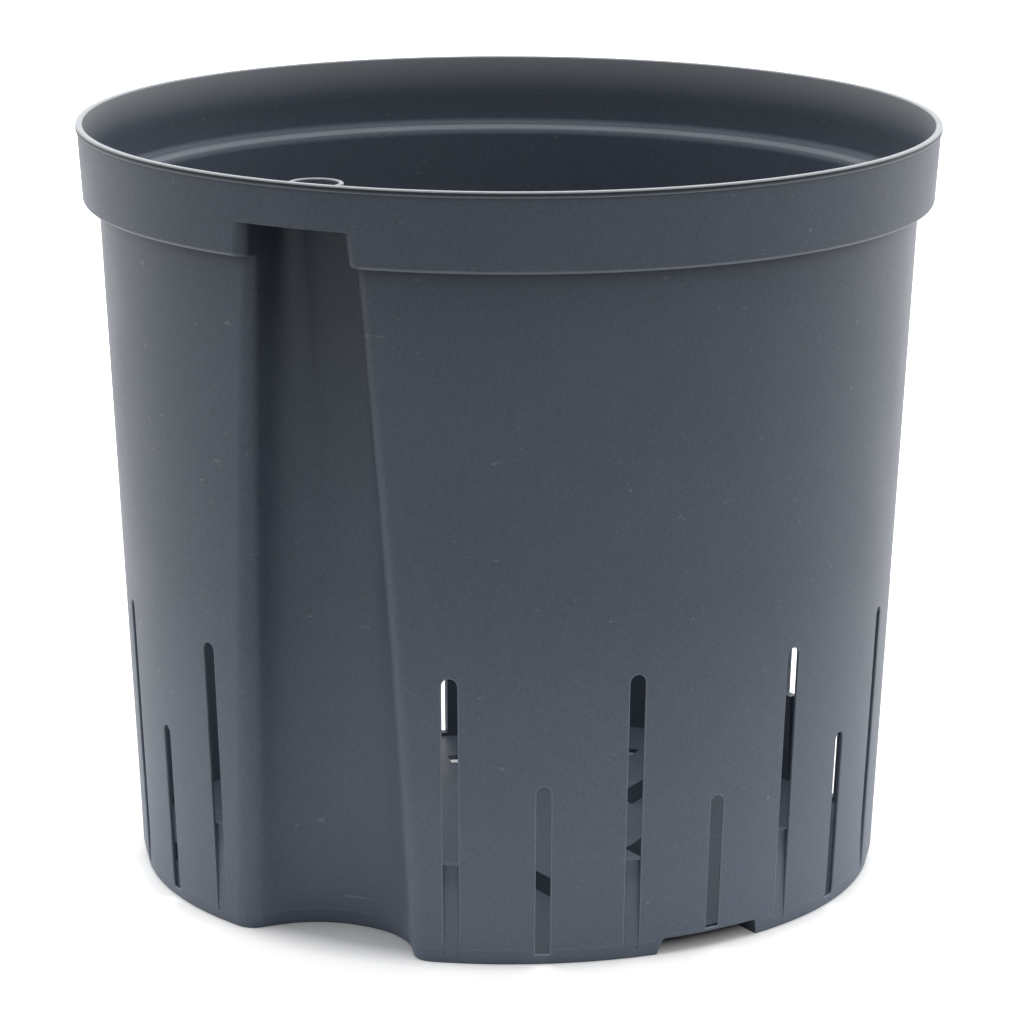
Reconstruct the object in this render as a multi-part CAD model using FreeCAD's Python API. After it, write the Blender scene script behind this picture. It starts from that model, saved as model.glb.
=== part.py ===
import FreeCAD, Part
import math
import os

# A slotted culture pot of about 22 cm, moulded in one shot from dark polypropylene.
# Frame: millimetres, +Z up, origin on the pot's axis at the level that it stands on.
# The recess for the water level gauge faces -Y. Azimuths are degrees from -Y towards +X.
# The moulding is built as its zones, which meet face to face at the creases of the real part.

# Rim and collar
rim_radius = 110.0
pot_height = 193.8
bead_height = 1.5
bead_overhang = 0.35
bead_rounding = 0.45
collar_height = 19.8
collar_draft = 1.25
collar_wall = 1.35
collar_edge_rounding = 1.2
shelf_fillet = 1.8
shelf_edge_rounding = 1.1

# Wall below the collar
collar_step = 4.0
wall_draft = 8.7
wall = 1.3
foot_edge_height = 4.0
foot_edge_inset = 0.8

# Floor, its raised hub and the three water channels under it
floor_thickness = 1.2
channel_height = 4.3
channel_roof_half_width = 13.7
channel_foot_half_width = 14.8
channel_wall = 1.2
hub_radius = 36.2
hub_draft = 1.1
channel_names = ("right", "back", "left")
sector_names = ("front", "right", "left")

# Drain holes in the floor
drain_inset = 23.7
drain_width = 3.0
drain_length = 6.4
drain_count = 9

# Slots: 27 places round the pot, of which the recess takes two
slot_places = 27
upper_slot_width = 3.9
upper_slot_foot = 25.4
upper_slot_top = 73.5
lower_slot_width = 3.6
lower_slot_foot = 2.7
lower_slot_top = 46.3
short_slot_lip = 0.9
short_slot_top = 39.7
sill_thickness = 2.8
sill_flange = 1.2
groove_depth = 0.15

# Recess for the gauge
band_height = 11.1
recess_top_half_width = 12.6
recess_top_corner = 5.0
recess_top_angle = 3.0
recess_top_fillet = 3.0
recess_foot_depth = 18.9
recess_foot_flat = 1.0
recess_foot_corner = 22.0
recess_foot_angle = 33.0
recess_foot_fillet = 6.0
roof_thickness = 1.2

# Guide ring on the roof of the recess
guide_inset = 13.1
guide_bore = 11.3
guide_wall = 1.1
guide_drop = 2.0
guide_rounding = 0.4
guide_margin = 0.15

# One overrun for every cut
overrun = 2.0

# Worked out from the sizes above
collar_foot = pot_height - collar_height
bead_foot = pot_height - bead_height
shelf_top = collar_foot + wall
collar_top_radius = rim_radius - bead_overhang
collar_foot_radius = collar_top_radius - collar_draft
collar_lean = collar_draft / (collar_height - bead_height)
wall_top_radius = collar_foot_radius - collar_step
wall_foot_radius = wall_top_radius - wall_draft
wall_lean = wall_draft / collar_foot
roof_underside = pot_height - band_height
roof_top = roof_underside + roof_thickness
guide_axis_radius = rim_radius - guide_inset
guide_radius = guide_bore / 2 + guide_wall
guide_top = pot_height - guide_drop
recess_top_back = guide_axis_radius - guide_radius - guide_margin
recess_foot_back = wall_foot_radius - recess_foot_depth
recess_top_flat = recess_top_half_width - recess_top_corner
channel_roof_top = channel_height + floor_thickness
channel_lean = (channel_foot_half_width - channel_roof_half_width) / channel_height
hub_lean = hub_draft / channel_height
drain_ring_radius = wall_foot_radius - drain_inset
short_slot_foot = channel_height + short_slot_lip
groove_radius = wall_foot_radius - groove_depth
slot_pitch = 360.0 / slot_places
zone_angle = 360.0 / len(channel_names)
channel_azimuths = [zone_angle * (index + 0.5) for index in range(len(channel_names))]
sector_azimuths = [zone_angle * index for index in range(len(sector_names))]

# Where the round wall is split into arcs, and where the collar's rounded foot is cut into sections
round_azimuths = (30.0, 120.0, 240.0, 330.0)
rounding_angles = (30.0, 60.0, 90.0)


def mix(foot_value, top_value, share):
    """Return the value that lies the given share of the way up from foot to top."""
    return foot_value + (top_value - foot_value) * share


def spot(radius, azimuth, z=0):
    """Return the point at a radius and azimuth, where azimuth 0 is -Y."""
    angle = math.radians(azimuth)
    return FreeCAD.Vector(radius * math.sin(angle), -radius * math.cos(angle), z)


def wall_radius(z):
    """Return the outside radius of the tapered wall at a height."""
    return wall_foot_radius + wall_lean * z


def collar_radius(z):
    """Return the outside radius of the collar at a height."""
    return collar_foot_radius + collar_lean * (z - collar_foot)


def turned(shape, azimuth):
    """Return a copy of a shape drawn towards -Y, turned to its azimuth."""
    copy = shape.copy()
    copy.rotate(FreeCAD.Vector(0, 0, 0), FreeCAD.Vector(0, 0, 1), azimuth)
    return copy


def group(shapes):
    """Return a compound of shapes that lie apart."""
    return Part.makeCompound(list(shapes))


def box(x_low, x_high, y_low, y_high, z_low, z_high):
    """Return a box between two corners."""
    corner = FreeCAD.Vector(x_low, y_low, z_low)
    return Part.makeBox(x_high - x_low, y_high - y_low, z_high - z_low, corner)


def slab(z_low, z_high):
    """Return everything between two heights, past the rim on all sides."""
    reach = rim_radius + overrun
    return box(-reach, reach, -reach, reach, z_low, z_high)


def arc(first, middle, last):
    """Return an arc edge through three points."""
    return Part.Arc(first, middle, last).toShape()


def rounded_ring(corners):
    """Return the ring turned from a section of (radius, height, rounding) corners."""
    points = [FreeCAD.Vector(radius, 0, z) for radius, z, _ in corners]
    bends = []
    for index, (_, _, rounding) in enumerate(corners):
        corner = points[index]
        back = (points[index - 1] - corner).normalize()
        ahead = (points[(index + 1) % len(points)] - corner).normalize()
        half_angle = back.getAngle(ahead) / 2
        run = rounding / math.tan(half_angle)
        crown = rounding / math.sin(half_angle) - rounding
        inward = (back + ahead).normalize()
        bends.append((corner + back * run, corner + inward * crown, corner + ahead * run, rounding))
    edges = []
    for index, (first, middle, last, rounding) in enumerate(bends):
        if rounding:
            edges.append(arc(first, middle, last))
        edges.append(Part.makeLine(last, bends[(index + 1) % len(bends)][0]))
    axis_point = FreeCAD.Vector(0, 0, 0)
    return Part.Face(Part.Wire(edges)).revolve(axis_point, FreeCAD.Vector(0, 0, 1), 360)


def recess_marks(z, radius):
    """Return the recess's construction at a height, for a round wall of this radius.

    Places are (across, outward) pairs for the right half: the corner's centre, the mouth
    fillet's centre, and unit vectors along the side and from the recess into the wall.
    """
    share = z / roof_underside
    back = mix(recess_foot_back, recess_top_back, share)
    flat = mix(recess_foot_flat, recess_top_flat, share)
    corner = mix(recess_foot_corner, recess_top_corner, share)
    fillet = mix(recess_foot_fillet, recess_top_fillet, share)
    angle = math.radians(mix(recess_foot_angle, recess_top_angle, share))
    along = (math.sin(angle), math.cos(angle))
    into = (math.cos(angle), -math.sin(angle))
    corner_centre = (flat, back + corner)
    start = [corner_centre[k] + (corner + fillet) * into[k] for k in (0, 1)]
    run = run_to_circle(start, along, radius - fillet)
    fillet_centre = (start[0] + run * along[0], start[1] + run * along[1])
    return {"back": back, "flat": flat, "corner": corner, "fillet": fillet,
            "along": along, "into": into, "corner_centre": corner_centre, "fillet_centre": fillet_centre}


def run_to_circle(start, along, radius):
    """Return how far a line runs from its start until it meets a circle round the pot's axis."""
    half = start[0] * along[0] + start[1] * along[1]
    return -half + math.sqrt(half * half - math.hypot(*start) ** 2 + radius ** 2)


def mouth_azimuth(z, radius):
    """Return the azimuth where the mouth of the recess leaves the round wall."""
    centre = recess_marks(z, radius)["fillet_centre"]
    return math.degrees(math.atan2(centre[0], centre[1]))


def recess_points(z, radius, inset):
    """Return the right half of the recess's outline, from its back to the round wall."""
    marks = recess_marks(z, radius)
    into = marks["into"]
    corner_centre = marks["corner_centre"]
    fillet_centre = marks["fillet_centre"]
    corner = marks["corner"] + inset
    fillet = marks["fillet"] - inset
    reach = math.hypot(*fillet_centre)
    outward = [value / reach for value in fillet_centre]
    corner_middle = (into[0], into[1] - 1)
    fillet_middle = (outward[0] - into[0], outward[1] - into[1])
    corner_reach = corner / math.hypot(*corner_middle)
    fillet_reach = fillet / math.hypot(*fillet_middle)
    places = [
        (marks["flat"], marks["back"] - inset),
        (corner_centre[0] + corner_reach * corner_middle[0], corner_centre[1] + corner_reach * corner_middle[1]),
        (corner_centre[0] + corner * into[0], corner_centre[1] + corner * into[1]),
        (fillet_centre[0] - fillet * into[0], fillet_centre[1] - fillet * into[1]),
        (fillet_centre[0] + fillet_reach * fillet_middle[0], fillet_centre[1] + fillet_reach * fillet_middle[1]),
        ((radius - inset) * outward[0], (radius - inset) * outward[1]),
    ]
    return [FreeCAD.Vector(across, -outward_place, z) for across, outward_place in places]


def mirrored(point):
    """Return a point mirrored from the right half to the left half."""
    return FreeCAD.Vector(-point.x, point.y, point.z)


def round_edges(z, radius, start_azimuth):
    """Return the arcs of the round wall, from the right of the mouth to its left."""
    azimuths = (start_azimuth,) + round_azimuths + (360.0 - start_azimuth,)
    edges = []
    for first, last in zip(azimuths, azimuths[1:]):
        middle = (first + last) / 2
        edges.append(arc(spot(radius, first, z), spot(radius, middle, z), spot(radius, last, z)))
    return edges


def outline(z, radius, inset):
    """Return the pot's closed outline at a height, with its recess, moved in by the inset."""
    right = recess_points(z, radius, inset)
    left = [mirrored(point) for point in right]
    edges = [arc(right[0], right[1], right[2]), Part.makeLine(right[2], right[3])]
    edges.append(arc(right[3], right[4], right[5]))
    edges += round_edges(z, radius - inset, mouth_azimuth(z, radius))
    edges.append(arc(left[5], left[4], left[3]))
    edges += [Part.makeLine(left[3], left[2]), arc(left[2], left[1], left[0])]
    edges.append(Part.makeLine(left[0], right[0]))
    return Part.Wire(edges)


def lofted(sections):
    """Return the ruled solid through (height, radius, inset) sections of the outline."""
    wires = [outline(z, radius, inset) for z, radius, inset in sections]
    return Part.makeLoft(wires, True, True)


def wall_outside():
    """Return the solid inside the wall's outer face, up to the collar."""
    return lofted([
        (0, wall_radius(0), foot_edge_inset),
        (foot_edge_height, wall_radius(foot_edge_height), 0),
        (collar_foot, wall_radius(collar_foot), 0),
    ])


def wall_inside():
    """Return the solid inside the wall's inner face, from below the floor to above the shelf."""
    heights = (-overrun, shelf_top + overrun)
    return lofted([(z, wall_radius(z), wall) for z in heights])


def wedge(z_low, z_high, azimuth_low, azimuth_high):
    """Return the wedge towards -Y, from the axis past the rim, with a half angle at each height."""
    wires = []
    for z, azimuth in ((z_low, azimuth_low), (z_high, azimuth_high)):
        reach = (rim_radius + overrun) / math.cos(math.radians(azimuth))
        corners = [FreeCAD.Vector(0, 0, z), spot(reach, azimuth, z), spot(reach, -azimuth, z)]
        wires.append(Part.makePolygon(corners + corners[:1]))
    return Part.makeLoft(wires, True, True)


def lower_wedge():
    """Return the wedge that holds the recess below the collar."""
    low = mouth_azimuth(0, wall_radius(0))
    high = mouth_azimuth(collar_foot, wall_radius(collar_foot))
    return wedge(0, collar_foot, low, high)


def upper_wedge():
    """Return the wedge that holds the recess within the collar, up to its roof."""
    azimuth = mouth_azimuth(collar_foot, collar_radius(collar_foot))
    return wedge(collar_foot, roof_underside, azimuth, azimuth)


def slot_list():
    """Return each slot as its azimuth and kind, alternating from beside the recess."""
    slots = []
    for place in range(1, slot_places - 1):
        azimuth = (place + 0.5) * slot_pitch
        step = min(place, slot_places - 1 - place)
        kind = "upper" if step % 2 else "lower"
        above_channel = any(abs(azimuth - channel) < slot_pitch / 4 for channel in channel_azimuths)
        if kind == "lower" and above_channel:
            kind = "short"
        slots.append((azimuth, kind))
    return slots


def round_topped_bar(z_low, z_high, width, inner_radius):
    """Return a bar with a half-round top that cuts outwards from an inner radius."""
    half = width / 2
    left_low = FreeCAD.Vector(-half, -inner_radius, z_low)
    right_low = FreeCAD.Vector(half, -inner_radius, z_low)
    right_high = FreeCAD.Vector(half, -inner_radius, z_high - half)
    left_high = FreeCAD.Vector(-half, -inner_radius, z_high - half)
    crown = FreeCAD.Vector(0, -inner_radius, z_high)
    edges = [Part.makeLine(left_low, right_low), Part.makeLine(right_low, right_high)]
    edges += [arc(right_high, crown, left_high), Part.makeLine(left_high, left_low)]
    depth = wall_top_radius + overrun - inner_radius
    return Part.Face(Part.Wire(edges)).extrude(FreeCAD.Vector(0, -depth, 0))


def slot_cutter(kind):
    """Return the cutter of one slot kind, drawn towards -Y.

    An upper slot's cutter stops at a constant radius, so the slot runs down into a groove
    that fades out at the foot of the tapered wall.
    """
    if kind == "upper":
        return round_topped_bar(-overrun, upper_slot_top, upper_slot_width, groove_radius)
    foot, top = {"lower": (lower_slot_foot, lower_slot_top), "short": (short_slot_foot, short_slot_top)}[kind]
    return round_topped_bar(foot, top, lower_slot_width, wall_radius(foot) - wall - overrun)


def sill_blocks():
    """Return the inner sills, from the floor up, that close the upper slots' grooves."""
    half = upper_slot_width / 2 + sill_flange
    inner = groove_radius - sill_thickness
    block = box(-half, half, -wall_top_radius, -inner, floor_thickness, upper_slot_foot)
    return group(turned(block, azimuth) for azimuth, kind in slot_list() if kind == "upper")


def channel_bar(roof_half, foot_half, z_low, z_high):
    """Return a tapered bar from the axis past the rim towards -Y, with a channel's section."""
    corners = [(-foot_half, z_low), (foot_half, z_low), (roof_half, z_high), (-roof_half, z_high)]
    points = [FreeCAD.Vector(x, 0, z) for x, z in corners]
    reach = rim_radius + overrun
    return Part.Face(Part.makePolygon(points + points[:1])).extrude(FreeCAD.Vector(0, -reach, 0))


def star(roof_half, foot_half, hub_top, hub_foot, z_low, z_high):
    """Return the hub's cone joined to the three channels' bars."""
    bar = channel_bar(roof_half, foot_half, z_low, z_high)
    hub = Part.makeCone(hub_foot, hub_top, z_high - z_low, FreeCAD.Vector(0, 0, z_low))
    return hub.multiFuse([turned(bar, azimuth) for azimuth in channel_azimuths])


def channel_space():
    """Return the open passages under the floor: three channels and the hub between them."""
    foot_half = channel_foot_half_width + channel_lean * overrun
    hub_foot = hub_radius + hub_draft + hub_lean * overrun
    return star(channel_roof_half_width, foot_half, hub_radius, hub_foot, -overrun, channel_height)


def raised_floor_outside():
    """Return the solid under the upper face of the hub and the channels."""
    roof_half = channel_roof_half_width + channel_wall - channel_lean * floor_thickness
    foot_half = channel_foot_half_width + channel_wall
    hub_top = hub_radius + channel_wall - hub_lean * floor_thickness
    hub_foot = hub_radius + hub_draft + channel_wall
    return star(roof_half, foot_half, hub_top, hub_foot, 0, channel_roof_top)


def drain_cutters():
    """Return the drain holes' cutters, evenly spaced from the middle of the back channel."""
    half = drain_width / 2
    inner = drain_ring_radius - drain_length / 2
    hole = box(-half, half, -inner - drain_length, -inner, -overrun, channel_roof_top + overrun)
    return group(turned(hole, 180.0 + 360.0 * step / drain_count) for step in range(drain_count))


def wall_zones():
    """Return the slotted wall, and the recess's walls below the collar."""
    inside = wall_inside()
    outside = wall_outside()
    sills = sill_blocks().cut(raised_floor_outside())
    slots = group(turned(slot_cutter(kind), azimuth) for azimuth, kind in slot_list())
    notch = channel_bar(channel_roof_half_width, channel_foot_half_width, 0, channel_height)
    notches = group(turned(notch, azimuth) for azimuth in channel_azimuths)
    recess_zone = lower_wedge()
    slotted = outside.cut(inside.cut(sills)).cut(slots).cut(notches).cut(recess_zone)
    recess = outside.cut(inside).common(recess_zone)
    return slotted, recess


def rim_collar():
    """Return the collar with its shelf and bead, open below the roof where the recess passes."""
    inner_top = collar_top_radius - collar_wall
    inner_foot = inner_top - collar_lean * (pot_height - shelf_top)
    wall_inner = wall_radius(collar_foot) - wall
    ring = rounded_ring([
        (wall_inner, collar_foot, 0),
        (collar_foot_radius, collar_foot, collar_edge_rounding),
        (collar_top_radius, bead_foot, 0),
        (rim_radius, bead_foot, 0),
        (rim_radius, pot_height, bead_rounding),
        (inner_top, pot_height, bead_rounding),
        (inner_foot, shelf_top, shelf_fillet),
        (wall_inner, shelf_top, shelf_edge_rounding),
    ])
    return ring.cut(upper_wedge())


def recess_head():
    """Return the recess's walls within the collar, with the shelf beside its mouth.

    The collar's rounded foot draws in its round face and mouth, and leaves the recess straight.
    """
    rounding = collar_edge_rounding
    sections = [(collar_foot, collar_radius(collar_foot) - rounding, 0)]
    for angle in rounding_angles:
        turn = math.radians(angle)
        z = collar_foot + rounding * (1 - math.cos(turn))
        sections.append((z, collar_radius(z) - rounding * (1 - math.sin(turn)), 0))
    sections.append((roof_underside, collar_radius(roof_underside), 0))
    upper_inside = lofted([
        (shelf_top, collar_radius(shelf_top), collar_wall),
        (roof_underside + overrun, collar_radius(roof_underside + overrun), collar_wall),
    ])
    lower_inside = wall_inside().common(slab(collar_foot, shelf_top))
    return lofted(sections).cut(upper_inside).cut(lower_inside).common(upper_wedge())


def guide_place(z):
    """Return the point of the guide ring's axis at a height."""
    return spot(guide_axis_radius, 0, z)


def recess_roof():
    """Return the roof of the recess, with the hole under the guide ring."""
    radius = collar_radius(roof_underside)
    along = recess_marks(roof_underside, radius)["along"]
    back, bend, side = recess_points(roof_underside, radius, collar_wall)[:3]
    front_radius = radius - collar_wall
    run = run_to_circle((side.x, -side.y), along, front_radius)
    corner = FreeCAD.Vector(side.x + run * along[0], side.y - run * along[1], roof_underside)
    edges = [
        arc(back, bend, side),
        Part.makeLine(side, corner),
        arc(corner, spot(front_radius, 0, roof_underside), mirrored(corner)),
        Part.makeLine(mirrored(corner), mirrored(side)),
        arc(mirrored(side), mirrored(bend), mirrored(back)),
        Part.makeLine(mirrored(back), back),
    ]
    plate = Part.Face(Part.Wire(edges)).extrude(FreeCAD.Vector(0, 0, roof_thickness))
    depth = roof_thickness + 2 * overrun
    return plate.cut(Part.makeCylinder(guide_bore / 2, depth, guide_place(roof_underside - overrun)))


def guide_ring():
    """Return the guide ring that stands on the roof, with its rounded top edges."""
    bore_radius = guide_bore / 2
    ring = rounded_ring([
        (bore_radius, roof_top, 0),
        (guide_radius, roof_top, 0),
        (guide_radius, guide_top, guide_rounding),
        (bore_radius, guide_top, guide_rounding),
    ])
    ring.translate(guide_place(0))
    return ring


def floor_zones():
    """Return the floor's zones by name: the hub, three channels and three low sectors."""
    drains = drain_cutters()
    inside = wall_inside()
    outside = raised_floor_outside()
    raised = outside.cut(channel_space()).common(inside).cut(drains)
    low = inside.common(slab(0, floor_thickness)).cut(outside).cut(drains)
    third = wedge(0, channel_roof_top, zone_angle / 2, zone_angle / 2)
    hub_bounds = Part.makeCylinder(hub_radius + hub_draft + channel_wall, channel_roof_top)
    arms = raised.cut(hub_bounds)
    zones = {"floor_hub": raised.common(hub_bounds)}
    for side, azimuth in zip(channel_names, channel_azimuths):
        zones[f"water_channel_{side}"] = arms.common(turned(third, azimuth))
    for side, azimuth in zip(sector_names, sector_azimuths):
        zones[f"floor_sector_{side}"] = low.common(turned(third, azimuth))
    return zones


def export(name, shape):
    """Write one zone and report its solids and volume."""
    if len(shape.Solids) == 1:
        shape = shape.Solids[0]
    shape.exportStep(f"parts/{name}.step")
    print(name, "solids", len(shape.Solids), "valid", shape.isValid(), "volume", round(shape.Volume, 1))


def main():
    os.makedirs("parts", exist_ok=True)
    slotted, recess = wall_zones()
    export("slotted_wall", slotted)
    export("indicator_recess", recess)
    export("rim_collar", rim_collar())
    export("recess_head", recess_head())
    export("recess_roof", recess_roof())
    export("indicator_guide_ring", guide_ring())
    for name, shape in floor_zones().items():
        export(name, shape)


main()
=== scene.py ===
from math import asin, atan, atan2, copysign, cos, degrees, hypot, pi, radians, sin, sqrt, tan

import bpy
from mathutils import Matrix, Vector
from mathutils.geometry import delaunay_2d_cdt


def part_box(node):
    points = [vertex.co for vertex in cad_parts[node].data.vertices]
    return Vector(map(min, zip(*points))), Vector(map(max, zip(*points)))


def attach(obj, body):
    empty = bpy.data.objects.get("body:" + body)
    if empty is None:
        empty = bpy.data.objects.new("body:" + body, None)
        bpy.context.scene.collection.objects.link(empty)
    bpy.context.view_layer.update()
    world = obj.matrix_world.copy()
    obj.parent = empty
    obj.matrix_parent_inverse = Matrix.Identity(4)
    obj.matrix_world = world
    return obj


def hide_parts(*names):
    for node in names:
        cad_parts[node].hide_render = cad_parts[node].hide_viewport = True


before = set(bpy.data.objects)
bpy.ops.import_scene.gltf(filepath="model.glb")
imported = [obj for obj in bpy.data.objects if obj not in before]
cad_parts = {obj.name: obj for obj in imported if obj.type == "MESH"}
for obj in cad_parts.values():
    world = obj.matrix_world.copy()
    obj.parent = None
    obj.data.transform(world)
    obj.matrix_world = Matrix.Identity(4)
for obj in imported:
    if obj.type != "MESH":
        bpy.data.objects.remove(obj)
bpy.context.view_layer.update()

# A slotted culture pot, in metres. +Z is up, the recess faces -Y, and azimuths are degrees
# from -Y towards +X. The sizes below are those of the solids that the pieces stand for.
# A corner is a place with its normal. A pair is a place in the unrolled wall, in
# millimetres, with its corner.
mm = 0.001
upward = Vector((0, 0, 1))

# Rim and collar
rim_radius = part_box("rim_collar")[1].x
pot_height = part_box("rim_collar")[1].z
bead_height = 1.5 * mm
bead_overhang = 0.35 * mm
bead_rounding = 0.45 * mm
bead_foot_rounding = 0.2 * mm
bead_foot_fillet = 0.12 * mm
collar_height = 19.8 * mm
collar_draft = 1.25 * mm
collar_wall = 1.35 * mm
collar_edge_rounding = 1.2 * mm
collar_step = 4.0 * mm
shelf_fillet = 1.8 * mm
shelf_rise = 0.3 * mm
shelf_crest_height = 1.0 * mm
shelf_edge_rounding = 2.4 * mm
shelf_roll_radius = 2.2 * mm
shelf_roll_height = 1.2 * mm

# Wall
wall_draft = 8.7 * mm
wall = 1.3 * mm
foot_edge_height = 4.0 * mm
foot_edge_inset = 0.8 * mm
foot_edge_blend = 0.3 * mm
foot_rounding = 0.3 * mm
floor_thickness = 1.2 * mm

# Notches and the channels behind them
notch_azimuths = (60.0, 180.0, 300.0)
notch_height = 4.3 * mm
notch_roof_half_width = 13.7 * mm
notch_foot_half_width = 14.8 * mm
notch_corner = 0.75 * mm
notch_edge_rounding = 0.25 * mm

# Slots
slot_places = 27
upper_slot_width = 3.9 * mm
upper_slot_foot = 25.4 * mm
upper_slot_top = 73.5 * mm
lower_slot_width = 3.6 * mm
lower_slot_foot = 2.7 * mm
lower_slot_top = 46.3 * mm
short_slot_foot = 5.2 * mm
short_slot_top = 39.7 * mm
slot_edge_rounding = 0.38 * mm
slot_flare = 0.6 * mm
sill_thickness = 2.8 * mm
sill_flange = 1.2 * mm
groove_depth = 0.15 * mm
groove_fade = 1.0 * mm
groove_rounding_share = 0.7

# Recess
band_height = 11.1 * mm
band_edge_rounding = 0.3 * mm
band_fade_angle = 1.5
head_margin = 0.3
recess_top_half_width = 12.6 * mm
recess_top_corner = 5.0 * mm
recess_top_angle = 3.0
recess_top_fillet = 3.0 * mm
recess_foot_depth = 18.9 * mm
recess_foot_flat = 1.0 * mm
recess_foot_corner = 22.0 * mm
recess_foot_angle = 33.0
recess_foot_fillet = 6.0 * mm
roof_thickness = 1.2 * mm
roof_rounding = 0.5 * mm
roof_tuck = 0.3 * mm

# Guide ring
guide_inset = 13.1 * mm
guide_bore = 11.3 * mm
guide_wall = 1.1 * mm
guide_drop = 2.0 * mm
guide_rounding = 0.4 * mm
guide_margin = 0.15 * mm

# Worked out from the sizes above
collar_foot = pot_height - collar_height
bead_foot = pot_height - bead_height
shelf_top = collar_foot + wall
collar_top_radius = rim_radius - bead_overhang
collar_foot_radius = collar_top_radius - collar_draft
collar_lean = collar_draft / (collar_height - bead_height)
wall_top_radius = collar_foot_radius - collar_step
wall_foot_radius = wall_top_radius - wall_draft
wall_lean = wall_draft / collar_foot
foot_edge_lean = wall_lean + foot_edge_inset / foot_edge_height
roof_underside = pot_height - band_height
roof_top = roof_underside + roof_thickness
guide_axis_radius = rim_radius - guide_inset
guide_centre = Vector((0, -guide_axis_radius, 0))
guide_radius = guide_bore / 2 + guide_wall
guide_top = pot_height - guide_drop
recess_top_back = guide_axis_radius - guide_radius - guide_margin
recess_foot_back = wall_foot_radius - recess_foot_depth
recess_top_flat = recess_top_half_width - recess_top_corner
groove_radius = wall_foot_radius - groove_depth
groove_foot = (groove_radius - wall_foot_radius + foot_edge_inset) / foot_edge_lean
slot_pitch = 360.0 / slot_places

# Painted light and shade, as shares: above zero for painted highlights and lighter lines on edges, below
# zero for painted shade in creases, the recess and the inside
bead_highlight = 0.75
bead_foot_highlight = 0.4
collar_edge_highlight = 0.2
collar_edge_highlight_height = 0.7 * collar_edge_rounding
slot_edge_highlight_shares = (0.0, 0.3, 0.35, 0.2, 0.0)
ring_highlight = 0.6
shelf_highlight = 0.3
foot_edge_lightening = 0.12
foot_contact_shade = 0.85
bead_crease_shade = 0.4
bead_crease_reach = 1.0 * mm
collar_crease_shade = 0.9
collar_crease_reach = 4.5 * mm
crease_row_shares = (0.6, 0.3, 0.1)
recess_shade = 0.55
recess_shade_reach = 70 * mm
inside_shade = 0.45
inside_shade_height = 90 * mm
inside_depth = 0.9 * wall
rim_inside_shade = 0.4

# Plastic. Each noise is a scale, a detail and a roughness, and each range is the noise's
# own lowest and highest values, with the values that they become.
darker_colour = (0.086, 0.106, 0.141, 1)
lighter_colour = (0.100, 0.121, 0.156, 1)
# The pale colour is shared by real scuffs and scratches and by the painted highlights; the near-black one
# is painted shade.
worn_and_highlight_colour = (0.42, 0.44, 0.46, 1)
painted_shade_colour = (0.008, 0.009, 0.011, 1)
cloud_noise = (28.0, 4.0, 0.6)
cloud_range = (0.3, 0.7, 0.0, 1.0)
roughness_range = (0.3, 0.7, 0.46, 0.54)
speck_noise = (1500.0, 3.0, 0.7)
speck_range = (0.3, 0.7, -0.16, 0.16)
scuff_noise = (330.0, 5.0, 0.75)
scuff_range = (0.66, 0.76, 0.0, 0.12)
scuff_stretch = (1.0, 1.0, 0.1)
scratch_noise = (560.0, 2.0, 0.5)
scratch_range = (0.72, 0.76, 0.0, 0.22)
scratch_stretch = (0.07, 1.0, 1.0)
scratch_turn = (0.5, 0.9, 0.3)
grain_noise = (2600.0, 2.0, 0.6)
grain_strength = 0.4
grain_depth = 0.12 * mm
refraction = 1.49
specular_level = 0.32
# Painted light by height: the outside is painted paler towards its foot, and the inside floor pieces
# darker, as painted shade.
wall_foot_painted_light = 1.45
painted_light_height = 90 * mm
floor_painted_shade = 0.78

# How finely the meshes are drawn
wall_column_step = 1.25
wall_row_step = 5.0 * mm
collar_column_step = 1.0
outline_margin = 0.55 * mm
height_tolerance = 0.001 * mm
outline_nudge = 0.02 * mm
shelf_nudge = 0.01 * mm
triangle_tolerance = 0.0001
steepest_slope = 1000.0
nearly_one = 0.999
shortest_facing = 0.05
groove_row_gap = 2 * mm
ledge_row_rises = (0, 1 * mm, 3 * mm)
back_points = 3
corner_points = 20
side_points = 4
fillet_points = 14
edge_steps = 4
foot_steps = 5
slot_top_steps = 16
groove_columns = 4
groove_steps = 6
sill_steps = 4
open_slot_steps = 10
lower_slot_steps = 8
notch_side_steps = 4
notch_corner_steps = 5
notch_roof_steps = 12
head_steps = 5
section_steps = 8
margin_steps = 3
band_steps = 24
roof_steps = 6
bore_steps = 72
ring_steps = 96

# Camera, as fitted to the photograph
camera_azimuth = 28.15
camera_distance = 1122.74 * mm
camera_height = 371.59 * mm
camera_yaw = 0.0009
camera_pitch = 0.2455
camera_roll = 0.0027
focal_length_pixels = 4448.7
picture_width_pixels = 1024
sensor_width = 36.0
nearest_view = 50 * mm
farthest_view = 50.0

# Light
light_turn = -7.0
front_level = 0.03
back_level = 2.45
level_power = 1.7
top_level = 4.0
top_power = 12.0
floor_size = 0.6
floor_colour = (0.88, 0.88, 0.88, 1)
floor_glow = 0.4
floor_glow_start = -9 * mm
floor_glow_end = 5 * mm
white = (1, 1, 1, 1)


def mix(first, second, share):
    """Return the value a share of the way between two."""
    return first + (second - first) * share


def steps(first, last, count):
    """Return evenly spaced values, ends included."""
    return [mix(first, last, index / count) for index in range(count + 1)]


def held(share):
    """Hold a share between 0 and 1."""
    return min(1.0, max(0.0, share))


def way_at(turn):
    """Return an angle's cosine and sine."""
    return cos(turn), sin(turn)


def chord(radius, across):
    """Return how far out a circle lies at a distance across."""
    return sqrt(radius * radius - across * across)


def radial(azimuth, height=0.0):
    """Return the unit vector away from the axis, with a tilt."""
    angle = radians(azimuth)
    return Vector((sin(angle), -cos(angle), height)).normalized()


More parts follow.
